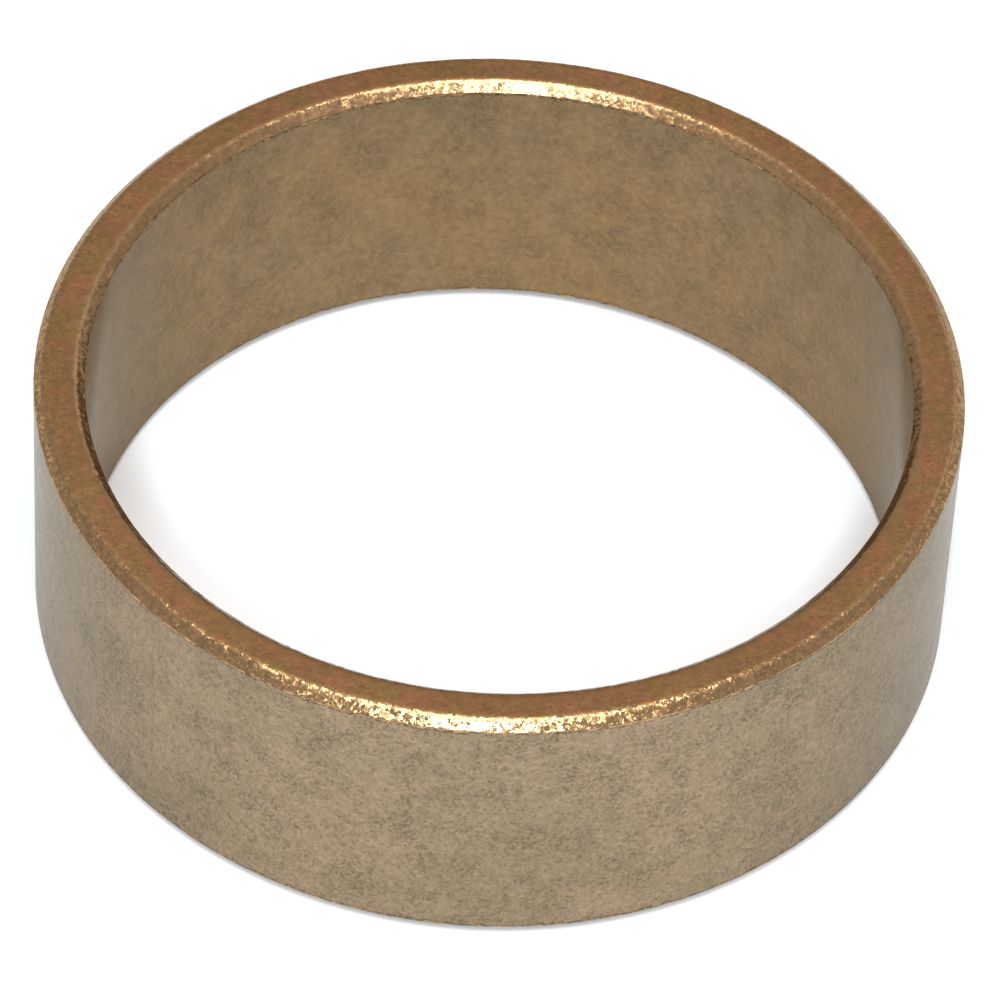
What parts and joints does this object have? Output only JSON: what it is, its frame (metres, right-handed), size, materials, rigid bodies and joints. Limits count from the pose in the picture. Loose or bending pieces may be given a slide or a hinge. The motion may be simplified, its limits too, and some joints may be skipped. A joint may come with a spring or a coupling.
{
  "type": "sleeve bushing",
  "caption": "Plain cylindrical sleeve bushing with a thin wall, a straight through bore and small chamfers at both ends.",
  "frame": {"origin": "on the bore's axis, level with the lower end face, on which the sleeve stands", "axes": "+Z along the bore's axis, from the lower end face to the upper one; the sleeve is round, so X and Y are free"},
  "size_m": [0.0286, 0.0286, 0.0095],
  "materials": {
    "sintered_bronze": "dull as-sized sintered bronze, finely speckled with pores, coppery on the end faces"
  },
  "bodies": {
    "root": {"sleeve": "sintered_bronze"}
  },
  "joints": []
}
